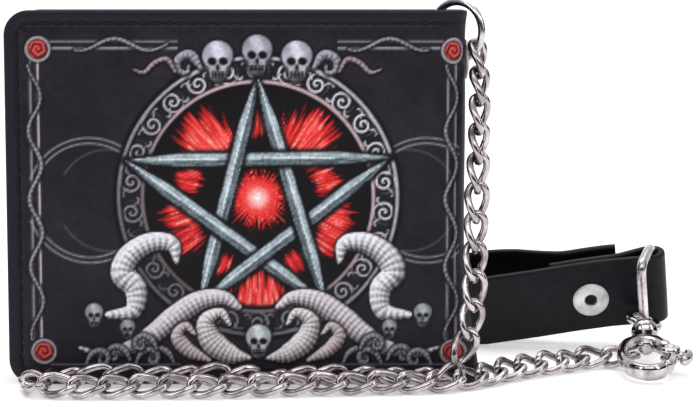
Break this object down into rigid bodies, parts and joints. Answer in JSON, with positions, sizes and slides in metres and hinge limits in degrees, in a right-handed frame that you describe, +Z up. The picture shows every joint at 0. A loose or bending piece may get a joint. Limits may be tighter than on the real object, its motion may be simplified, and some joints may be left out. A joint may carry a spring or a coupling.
{
  "type": "chain wallet",
  "caption": "Bifold wallet standing closed, with a chain from a ring in its spine to a swivel clasp on a leather belt strap with a press stud.",
  "frame": {"origin": "the middle of the closed wallet's lower edge, on the surface it stands on", "axes": "+X along the wallet's width towards the spine, -Y towards the front cover, +Z up"},
  "size_m": [0.1675, 0.0872, 0.0928],
  "materials": {
    "cover_leather": "printed coated leather, satin",
    "pocket_leather": "plain smooth leather",
    "strap_leather": "smooth leather with turned edges, satin",
    "lining_cloth": "woven polyester",
    "padding_foam": "closed-cell foam board",
    "clear_film": "clear vinyl",
    "chrome": "bright plated steel",
    "nickel": "nickel-plated, slightly dull",
    "spring_steel": "drawn wire"
  },
  "bodies": {
    "front_half": {"front_cover": "cover_leather", "front_padding": "padding_foam", "front_lining": "lining_cloth", "front_pocket_base": "pocket_leather", "front_card_pocket_1": "pocket_leather", "front_card_pocket_2": "pocket_leather", "front_card_pocket_3": "pocket_leather", "eyelet": "nickel", "eyelet_washer": "nickel", "chain": "chrome", "strap_front": "strap_leather", "snap_post": "nickel", "snap_stud": "nickel", "clasp_hook": "chrome", "gate_pin": "nickel", "gate_spring": "spring_steel"},
    "back_half": {"back_cover": "cover_leather", "back_padding": "padding_foam", "back_lining": "lining_cloth", "note_divider": "lining_cloth", "back_pocket_base": "pocket_leather", "back_card_pocket": "pocket_leather", "window_film": "clear_film", "window_frame": "pocket_leather"},
    "ring": {"wallet_ring": "chrome"},
    "tail": {"strap_tail": "strap_leather", "snap_socket": "nickel", "snap_cap": "chrome"},
    "strap_loop": {"strap_ring": "chrome"},
    "swivel": {"clasp_eye": "chrome"},
    "gate": {"clasp_gate": "chrome"}
  },
  "joints": [
    {"name": "wallet_open", "type": "hinge", "parent": "front_half", "child": "back_half", "pos_m": [0.05, 0.01, 0.045], "axis": [0, 0, -1], "range_deg": [0, 90]},
    {"name": "ring_turn", "type": "hinge", "parent": "front_half", "child": "ring", "pos_m": [0.0532, 0.00065, 0.08481], "axis": [0.5878, 0.809, 0], "continuous": true},
    {"name": "tail_unsnap", "type": "hinge", "parent": "front_half", "child": "tail", "pos_m": [0.06434, 0.05398, 0.01595], "axis": [-0.1149, -0.3397, 0.9335], "range_deg": [0, 45]},
    {"name": "strap_ring_swing", "type": "hinge", "parent": "front_half", "child": "strap_loop", "pos_m": [0.10785, 0.0406, 0.01643], "axis": [-0.1149, -0.3397, 0.9335], "range_deg": [-5, 5]},
    {"name": "clasp_swivel", "type": "hinge", "parent": "front_half", "child": "swivel", "pos_m": [0.1009, 0.0032, 0.0044], "axis": [0.1121, 0.9839, 0.1392], "range_deg": [-10, 10]},
    {"name": "gate_open", "type": "hinge", "parent": "front_half", "child": "gate", "pos_m": [0.10697, 0.0052, 0.00478], "axis": [0.0157, 0.1383, -0.9903], "range_deg": [0, 20], "stiffness_Nm_per_rad": 0.01, "springref_deg": -5.73}
  ]
}
